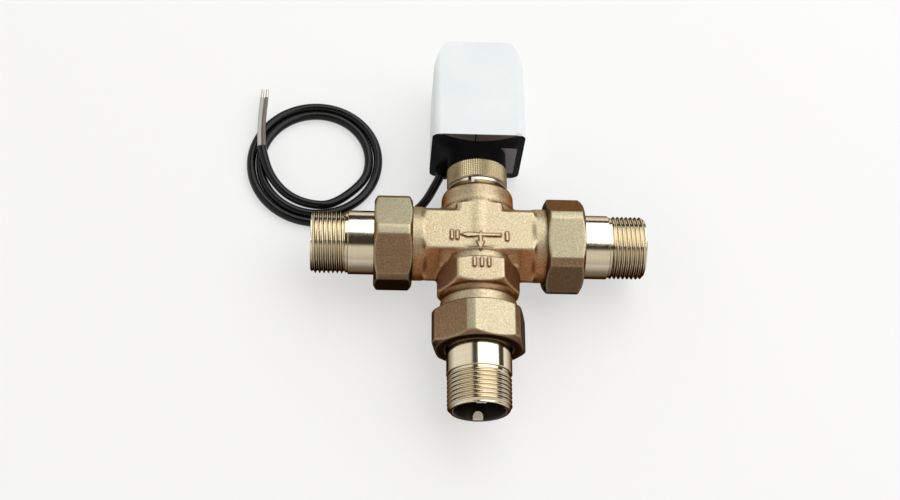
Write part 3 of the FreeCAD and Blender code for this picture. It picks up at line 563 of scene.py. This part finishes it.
# tails: turned tubes with a pipe thread that is spun as a real helix
tailLook = {
    "plain": 16.9, "root": 15.25, "crest": 16.6, "bore": 13.2, "collar": 19.6, "collarLength": 3.2, "length": 39.6,
    "seatGap": 2.0, "edge": 0.3, "fillet": 0.5, "grooveEdge": 0.25, "grooveFoot": 0.15, "overlap": 0.05,
    "mouthEdges": [(0.35, 0.0), (0.12, 0.12), (0.0, 0.4)], "boreEdges": [(0.0, 0.7), (0.25, 0.25), (0.8, 0.0)],
    "threadLength": 18.0, "pitch": 2.309, "groove": 16.0, "grooveWidth": 1.5, "mouthBevel": 1.5, "steps": 96,
    "threadWall": 0.8, "threadGap": 0.1, "runOut": 1.6, "runOutFoot": 0.5, "threadWeld": 0.01, "sharpAngle": 38,
    "flank": [(0.0, 0.0), (0.10, 0.05), (0.24, 0.36), (0.36, 0.74), (0.44, 0.95),
              (0.50, 1.0), (0.56, 0.95), (0.64, 0.74), (0.76, 0.36), (0.90, 0.05)],
    "boreReach": 0.75, "tiltShadeFrom": (0.22, 0.66),
    "lugWidth": 5.2, "lugLength": 3.9, "lugHeight": 2.6, "lugSunk": 1.0, "lugSetback": 0.2, "lugSlope": 1.7,
    "lugFront": 2.0, "lugBack": 3.0, "lugRound": 0.49,
}


# painted shade: the further a face tilts from up, the more it darkens
def paintTiltShade(bm, limits):
    bm.normal_update()
    low = bm.verts.layers.float.new("low")
    for vert in bm.verts:
        vert[low] = 1.0 - between(vert.normal.z, *limits)


def spinProfile(bm, profile, steps):
    verts = [bm.verts.new((radius * mm, 0, height * mm)) for height, radius in profile]
    edges = [bm.edges.new(pair) for pair in zip(verts, verts[1:] + verts[:1])]
    bmesh.ops.spin(
        bm, geom=verts + edges, cent=(0, 0, 0), axis=(0, 0, 1), angle=math.tau,
        steps=steps, use_merge=True, use_duplicate=False)


def newVerts(geometry):
    return [item for item in geometry if isinstance(item, bmesh.types.BMVert)]


def scaleAcross(vert, factor):
    vert.co.x *= factor
    vert.co.y *= factor


# one coil of flank points, spun with a rise of one pitch a turn, and cut off square at both ends
def makeThread(look, end):
    bm = bmesh.new()
    start = end - look["threadLength"]
    pitches = math.ceil(look["threadLength"] / look["pitch"]) + 2
    rise = look["crest"] - look["root"]
    verts = []
    for turn in range(pitches + 1):
        for share, height in look["flank"]:
            along = start + (turn - 1.5 + share) * look["pitch"]
            verts.append(bm.verts.new(((look["root"] + rise * height) * mm, 0, along * mm)))
    edges = [bm.edges.new(pair) for pair in zip(verts, verts[1:])]
    step = look["pitch"] / look["steps"] * mm
    bmesh.ops.spin(
        bm, geom=verts + edges, cent=(0, 0, 0), axis=(0, 0, 1), dvec=(0, 0, step), angle=math.tau,
        steps=look["steps"], use_merge=False, use_duplicate=False)
    bmesh.ops.remove_doubles(bm, verts=bm.verts, dist=look["threadWeld"] * mm)
    for height, outward in ((start, -1), (end, 1)):
        bmesh.ops.bisect_plane(
            bm, geom=bm.verts[:] + bm.edges[:] + bm.faces[:], dist=cutSlack,
            plane_co=(0, 0, height * mm), plane_no=(0, 0, outward), clear_outer=True)
    rims = [edge for edge in bm.edges if edge.is_boundary]
    inner = newVerts(bmesh.ops.extrude_edge_only(bm, edges=rims)["geom"])
    under = look["root"] - look["threadWall"]
    shrink = under / look["root"]
    bmesh.ops.scale(bm, vec=(shrink, shrink, 1), verts=inner)
    for vert in bm.verts:
        reach = math.hypot(vert.co.x, vert.co.y)
        fromEnd = end * mm - vert.co.z
        fromStart = vert.co.z - start * mm
        mouth = (look["crest"] - look["mouthBevel"]) * mm + fromEnd
        limit = max(min(mouth, (look["root"] + look["runOutFoot"]) * mm + look["runOut"] * fromStart), under * mm)
        if reach > limit:
            scaleAcross(vert, limit / reach)
    return bm


def placeAlong(bm, way):
    way = Vector(way)
    side = way.cross(Vector((0, 0, 1)))
    matrix = Matrix((
        (0, side.x, way.x, crossing.x),
        (0, side.y, way.y, crossing.y),
        (1, side.z, way.z, crossing.z),
        (0, 0, 0, 1),
    ))
    bmesh.ops.transform(bm, matrix=matrix, verts=bm.verts)
    bmesh.ops.recalc_face_normals(bm, faces=bm.faces)


# driving lug inside the mouth, rounded inwards and sloped at the front
def addLug(bm, look, end, side):
    lug = bmesh.ops.create_cube(bm, size=1.0)["verts"]
    height = look["lugHeight"] + look["lugSunk"]
    middle = look["bore"] + look["lugSunk"] - height / 2
    along = end - look["lugSetback"] - look["lugLength"] / 2
    bmesh.ops.scale(bm, vec=(height * mm, look["lugWidth"] * mm, look["lugLength"] * mm), verts=lug)
    bmesh.ops.translate(bm, vec=(side * middle * mm, 0, along * mm), verts=lug)
    for face in {face for vert in lug for face in vert.link_faces}:
        face.material_index = 2
    for vert in lug:
        if abs(vert.co.x) < middle * mm and vert.co.z > (end - look["lugFront"]) * mm:
            vert.co.x += side * look["lugSlope"] * mm
    inner = []
    for edge in {edge for vert in lug for edge in vert.link_edges}:
        first, second = edge.verts[0].co, edge.verts[1].co
        acrossOnly = abs(first.y - second.y) < cutSlack / 10 and abs(first.z - second.z) < cutSlack / 10
        if acrossOnly and first.z < (end - look["lugBack"]) * mm:
            inner.append(edge)
    bevelEdges(bm, inner, look["lugWidth"] * look["lugRound"], 6)


def makeTail(port, way, seat, material):
    look = tailLook
    edge, fillet, grooveEdge, gap = look["edge"], look["fillet"], look["grooveEdge"], look["threadGap"]
    start = seat + look["seatGap"]
    collarEnd = start + look["collarLength"]
    end = start + look["length"]
    threadStart = end - look["threadLength"]
    grooveStart = threadStart - look["grooveWidth"]
    under = look["root"] - look["overlap"]
    bm = makeThread(look, end)
    spinProfile(bm, [
        (start, look["bore"]), (start, look["collar"] - edge), (start + edge, look["collar"]),
        (collarEnd - edge, look["collar"]), (collarEnd, look["collar"] - edge),
        (collarEnd, look["plain"] + fillet), (collarEnd + fillet, look["plain"]),
        (grooveStart - grooveEdge, look["plain"]), (grooveStart, look["plain"] - grooveEdge),
        (grooveStart + look["grooveFoot"], look["groove"]), (threadStart - gap, look["groove"]),
        (threadStart + gap, under),
        *[(end - back, under - less) for back, less in look["mouthEdges"]],
        *[(end - back, look["bore"] + more) for back, more in look["boreEdges"]],
    ], look["steps"])
    # painted shade: the bore's faces get the near-black brass
    for face in bm.faces:
        reach = [math.hypot(vert.co.x, vert.co.y) for vert in face.verts]
        if max(reach) < (look["bore"] + look["boreReach"]) * mm:
            face.material_index = 1
    for side in (-1, 1):
        addLug(bm, look, end, side)
    placeAlong(bm, way)
    paintTiltShade(bm, look["tiltShadeFrom"])
    mesh = meshFrom(bm, port + "Tail", look["sharpAngle"])
    addPiece(port + "Tail", mesh, [material, boreShadeBrass, lugHighlightBrass], port + "_tail", (port + "_tail",))


# each port's way out and its nut seat's distance from the crossing
ports = {"left": ((-1, 0, 0), 46.4), "right": ((1, 0, 0), 46.4), "lower": ((0, -1, 0), 51.6)}
for port, (way, seat) in ports.items():
    makeTail(port, way, seat, alongStem if port == "lower" else acrossPort)
print("tails made")


# ring nut with a diamond knurl
knurlLook = {
    "bottom": 33.4, "top": 44.2, "radius": 16.3, "bore": 13.95, "edge": 0.7, "lip": 2.2,
    "around": 84, "rows": 9, "depth": 0.32, "skin": 1.2,
    "wearGain": 0.8, "wearMost": 0.6, "hollowGain": 0.8, "shadeBelts": [],
    "litFacing": (0.10, 0.10, 1.0), "shadeFacingFrom": (0.45, 0.90), "tiltShadeFrom": (0.0, 0.5),
}


def makeRingNut(look):
    bm = bmesh.new()
    bottom, top, radius, bore = look["bottom"], look["top"], look["radius"], look["bore"]
    low, high = bottom + look["edge"], top - look["edge"]
    rowHeight = (high - low) / look["rows"]
    profile = [(bottom, bore), (bottom, radius - look["edge"])]
    profile += [(low + rowHeight * row, radius - look["depth"]) for row in range(look["rows"] + 1)]
    profile += [(top, radius - look["edge"]), (top, bore - look["lip"]),
                (top - look["lip"], bore - look["lip"]), (top - look["lip"], bore)]
    spinProfile(bm, profile, look["around"])
    diamonds = []
    for face in bm.faces:
        middle = face.calc_center_median()
        if low * mm < middle.z < high * mm and math.hypot(middle.x, middle.y) > (radius - look["skin"]) * mm:
            diamonds.append(face)
    for vert in bmesh.ops.poke(bm, faces=diamonds, offset=0.0)["verts"]:
        scaleAcross(vert, radius * mm / math.hypot(vert.co.x, vert.co.y))
    placeAlong(bm, (0, 1, 0))
    paintSurface(bm, look)
    addPiece("knurledRing", meshFrom(bm, "knurledRing"), [knurledBrass], "ring_nut", ("ring_nut",))


makeRingNut(knurlLook)
print("ring nut made")


def addRidge(bm, outline, top, look):
    verts = [bm.verts.new(fromCrossing(x, y, top - look["sunk"])) for x, y in outline]
    face = bm.faces.new(verts)
    if face.normal.z < 0:
        face.normal_flip()
    grown = bmesh.ops.extrude_face_region(bm, geom=[face])["geom"]
    bmesh.ops.translate(bm, vec=(0, 0, (look["height"] + look["sunk"]) * mm), verts=newVerts(grown))
    bevelEdges(bm, [item for item in grown if isinstance(item, bmesh.types.BMEdge)], look["edge"], 2)


def makeMarks(look):
    bm = bmesh.new()
    for outline, top in markOutlines(look):
        addRidge(bm, outline, top, look)
    bmesh.ops.recalc_face_normals(bm, faces=bm.faces)
    paintSurface(bm, {**forgingLook, **look["paint"]})
    hollow = bm.verts.layers.float["hollow"]
    # painted shadow at the foot of each raised mark
    for vert in bm.verts:
        height = (vert.co.z - crossing.z) / mm - look["foot"]
        atFoot = height < look["top"] or look["top"] - look["foot"] + look["rise"] < height < look["numberTop"]
        vert[hollow] = 1.0 if atFoot else 0.0
    addPiece("forgedMarks", meshFrom(bm, "forgedMarks"), [forgedBrass], "valve")


makeMarks(markLook)


# polished boss between the forging's neck and the ring nut, painted pale as a highlight with painted shade on its
# sides, and dark at its index notch by painted shade
coneLook = {
    "steps": 120, "notch": (-5.6, -3.9), "tiltShadeFrom": (0.73, 0.84), "sharpAngle": 20,
    "profile": [(28.4, 14.2), (28.4, 15.3), (28.7, 15.6), (32.7, 15.8), (33.0, 15.5), (33.0, 14.2)],
}


def makeCone(look):
    bm = bmesh.new()
    spinProfile(bm, look["profile"], look["steps"])
    placeAlong(bm, (0, 1, 0))
    for face in bm.faces:
        middle = face.calc_center_median() - crossing
        if look["notch"][0] * mm < middle.x < look["notch"][1] * mm and middle.z > 0:
            face.material_index = 1
    paintTiltShade(bm, look["tiltShadeFrom"])
    mesh = meshFrom(bm, "polishedCone", look["sharpAngle"])
    addPiece("polishedCone", mesh, [coneHighlightBrass, boreShadeBrass], "valve")


makeCone(coneLook)


# bare plate on the actuator's base
plateLook = {"left": 11.6, "right": 21.4, "low": -17.5, "high": 9.5, "face": 54.0, "thickness": 0.35, "corner": 1.0}


def makePlate(look):
    bm = bmesh.new()
    block = bmesh.ops.create_cube(bm, size=1.0)["verts"]
    size = Vector((look["right"] - look["left"], look["thickness"] * 2, look["high"] - look["low"]))
    middle = fromCrossing((look["right"] + look["left"]) / 2, look["face"], (look["high"] + look["low"]) / 2)
    bmesh.ops.scale(bm, vec=size * mm, verts=block)
    bmesh.ops.translate(bm, vec=middle, verts=block)
    upright = [edge for edge in bm.edges if abs(edge.verts[0].co.y - edge.verts[1].co.y) > cutSlack]
    bevelEdges(bm, upright, look["corner"], 4)
    addPiece("barePlate", meshFrom(bm, "barePlate"), [greyPlate], "actuator")


makePlate(plateLook)


# dark crescent under the cover's edge, with its latch slot
latchLook = {
    "left": -19.6, "right": 20.4, "edge": 23.6, "depth": 6.6, "steps": 28, "face": 53.75, "thickness": 0.5,
    "slot": (-2.2, -1.5),
}


def makeLatch(look):
    bm = bmesh.new()
    middle = (look["left"] + look["right"]) / 2
    half = (look["right"] - look["left"]) / 2
    rim = [(look["right"], look["edge"]), (look["left"], look["edge"])]
    for step in range(1, look["steps"]):
        share = 2 * step / look["steps"] - 1
        rim.append((middle + half * share, look["edge"] - look["depth"] * (1 - share * share)))
    face = bm.faces.new([bm.verts.new(fromCrossing(x, look["face"], z)) for x, z in rim])
    grown = bmesh.ops.extrude_face_region(bm, geom=[face])["geom"]
    bmesh.ops.translate(bm, vec=(0, look["thickness"] * mm, 0), verts=newVerts(grown))
    for side in look["slot"]:
        bmesh.ops.bisect_plane(
            bm, geom=bm.verts[:] + bm.edges[:] + bm.faces[:], dist=cutSlack,
            plane_co=fromCrossing(side, 0, 0), plane_no=(1, 0, 0))
    for face in bm.faces:
        place = (face.calc_center_median() - crossing) / mm
        if look["slot"][0] < place.x < look["slot"][1]:
            face.material_index = 1
    bmesh.ops.recalc_face_normals(bm, faces=bm.faces)
    addPiece("coverLatch", meshFrom(bm, "coverLatch"), [latchPlastic, blackPlastic], "actuator")


makeLatch(latchLook)
print("marks, plate and latch made")


# cables: one long cord with its loose coil, and the two cores at its stripped end
cable = {
    "diameter": 5.0, "exit": (-16.8, 54.0, -14.4), "firstRun": (-21.0, 45.5, -16.2),
    "lead": [
        (-28.2, 33.4, 4.8), (-38.5, 26.4, 3.0), (-52.0, 22.6, 2.6), (-66.0, 21.4, 2.6), (-78.0, 22.6, 2.6),
    ],
    "coilCentre": (-87.6, 60.6), "firstAngle": -86.0, "lastAngle": -745.0, "stepAngle": 24.0,
    "firstRadius": 38.7, "lastRadius": 29.2, "coilHeight": 2.6,
    "end": [
        (-78.0, 33.4, 2.7), (-91.0, 33.6, 2.8), (-102.5, 38.2, 3.4),
        (-110.8, 46.4, 4.8), (-116.0, 56.2, 6.8), (-118.4, 66.6, 8.2),
    ],
}
cores = {
    "diameter": 2.3, "spacing": 1.18,
    "route": [(-118.4, 66.6, 8.2), (-119.3, 79.0, 8.4), (-119.0, 91.5, 7.4), (-118.7, 99.0, 6.4)],
}
cordFinish = {"order": 3, "along": 10, "around": 6}


def coilPoints(look):
    centreX, centreY = look["coilCentre"]
    steps = round((look["firstAngle"] - look["lastAngle"]) / look["stepAngle"])
    points = []
    for step in range(steps + 1):
        share = step / steps
        angle = math.radians(look["firstAngle"] + (look["lastAngle"] - look["firstAngle"]) * share)
        radius = look["firstRadius"] + (look["lastRadius"] - look["firstRadius"]) * share
        across, along = radius * math.cos(angle), radius * math.sin(angle)
        points.append(onTable(centreX + across, centreY + along, look["coilHeight"]))
    return points


def makeCord(name, points, diameter, material):
    curve = bpy.data.curves.new(name, "CURVE")
    curve.dimensions = "3D"
    spline = curve.splines.new("NURBS")
    spline.points.add(len(points) - 1)
    for point, place in zip(spline.points, points):
        point.co = (*place, 1.0)
    spline.order_u = cordFinish["order"]
    spline.use_endpoint_u = True
    spline.resolution_u = cordFinish["along"]
    curve.bevel_depth = diameter * mm / 2
    curve.bevel_resolution = cordFinish["around"]
    curve.use_fill_caps = True
    piece = bpy.data.objects.new(name, curve)
    piece.data.materials.append(material)
    scene.collection.objects.link(piece)
    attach(piece, "actuator")
    return piece


cableStart = [fromCrossing(*cable["exit"]), fromCrossing(*cable["firstRun"])]
cableLead = [onTable(*point) for point in cable["lead"]]
cableEnd = [onTable(*point) for point in cable["end"]]
lead = makeCord("cable", cableStart + cableLead + coilPoints(cable) + cableEnd, cable["diameter"], sheath)
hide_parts("cable_lead", "cable_coil", "cable_end")
for name, side, material in (("grey", -1, greyCore), ("brown", 1, brownCore)):
    route = [onTable(x + side * cores["spacing"], y, z) for x, y, z in cores["route"]]
    core = makeCord(name + "Core", route, cores["diameter"], material)
    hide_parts(name + "_core")
print("cords made")


# stage: pale floor, one large soft light behind on the right, and a surround that differs by side
stageLook = {
    "floorColour": (0.90, 0.90, 0.90), "floorSize": 24.0, "floorWhite": 0.55, "floorRough": 0.9, "floorShine": 0.1,
    "cloudSize": 400.0, "cloudShade": 0.985,
    "keySide": (0.475, -0.880, 0.0), "keyElevation": 45.0, "keyDistance": 2.4,
    "keyWidth": 4.6, "keyHeight": 3.1, "keyOffset": (-0.84, 0.55), "keyPower": 92.0,
    "front": (0.66, 0.63, 0.57), "ceiling": (0.035, 0.030, 0.026), "ceilingFrom": (0.76, 0.86),
    "back": (0.04, 0.036, 0.033), "backFrom": (-0.12, 0.05), "left": (0.80, 0.79, 0.75), "leftFrom": (-0.50, -0.38),
}


def makeFloor(look):
    bm = bmesh.new()
    bmesh.ops.create_grid(bm, x_segments=1, y_segments=1, size=look["floorSize"] / 2)
    floor = bpy.data.objects.new("floor", meshFrom(bm, "floor"))
    scene.collection.objects.link(floor)
    material, tree, shader = startMaterial("floorPaint")
    cloud = noise(tree, objectPlace(tree), look["cloudSize"], 1.0)
    pale = look["floorColour"]
    tone = mixColour(tree, cloud, pale, tuple(look["cloudShade"] * value for value in pale))
    tree.links.new(tone, shader.inputs["Base Color"])
    shader.inputs["Roughness"].default_value = look["floorRough"]
    shader.inputs["Specular IOR Level"].default_value = look["floorShine"]
    white = addNode(tree, "ShaderNodeEmission", {"Color": (1, 1, 1, 1), "Strength": 1.0}).outputs["Emission"]
    rays = addNode(tree, "ShaderNodeLightPath").outputs
    seen = addUp(tree, rays["Is Camera Ray"], addUp(tree, rays["Is Glossy Ray"], rays["Is Transmission Ray"]))
    share = multiply(tree, seen, look["floorWhite"])
    paper = addNode(tree, "ShaderNodeMixShader", {0: share, 1: shader.outputs["BSDF"], 2: white})
    tree.links.new(paper.outputs["Shader"], tree.nodes["Material Output"].inputs["Surface"])
    floor.data.materials.append(material)


def makeLights(look):
    side = Vector(look["keySide"]).normalized()
    level = Vector((-side.y, side.x, 0))
    tilt = math.radians(look["keyElevation"])
    towards = level * math.cos(tilt) + Vector((0, 0, 1)) * math.sin(tilt)
    rise = towards.cross(side)
    if rise.z < 0:
        rise = -rise
    lamp = bpy.data.lights.new("softbox", "AREA")
    lamp.shape = "RECTANGLE"
    lamp.size = look["keyWidth"]
    lamp.size_y = look["keyHeight"]
    lamp.energy = look["keyPower"]
    softbox = bpy.data.objects.new("softbox", lamp)
    across, upward = look["keyOffset"]
    place = crossing + towards * look["keyDistance"] + side * across + rise * upward
    right = rise.cross(towards)
    softbox.matrix_world = Matrix((
        (right.x, rise.x, towards.x, place.x),
        (right.y, rise.y, towards.y, place.y),
        (right.z, rise.z, towards.z, place.z),
        (0, 0, 0, 1),
    ))
    scene.collection.objects.link(softbox)
    world = bpy.data.worlds.new("surround")
    scene.world = world
    world.use_nodes = True
    tree = world.node_tree
    direction = addNode(tree, "ShaderNodeTexCoord").outputs["Generated"]
    parts = addNode(tree, "ShaderNodeSeparateXYZ", {"Vector": direction}).outputs
    tone = mixColour(tree, remap(tree, parts["Z"], look["ceilingFrom"]), look["front"], look["ceiling"])
    tone = mixColour(tree, remap(tree, parts["Y"], look["backFrom"]), tone, look["back"])
    tone = mixColour(tree, remap(tree, parts["X"], look["leftFrom"], 1, 0), tone, look["left"])
    tree.links.new(tone, tree.nodes["Background"].inputs["Color"])


makeFloor(stageLook)
makeLights(stageLook)
scene.view_settings.view_transform = "Standard"
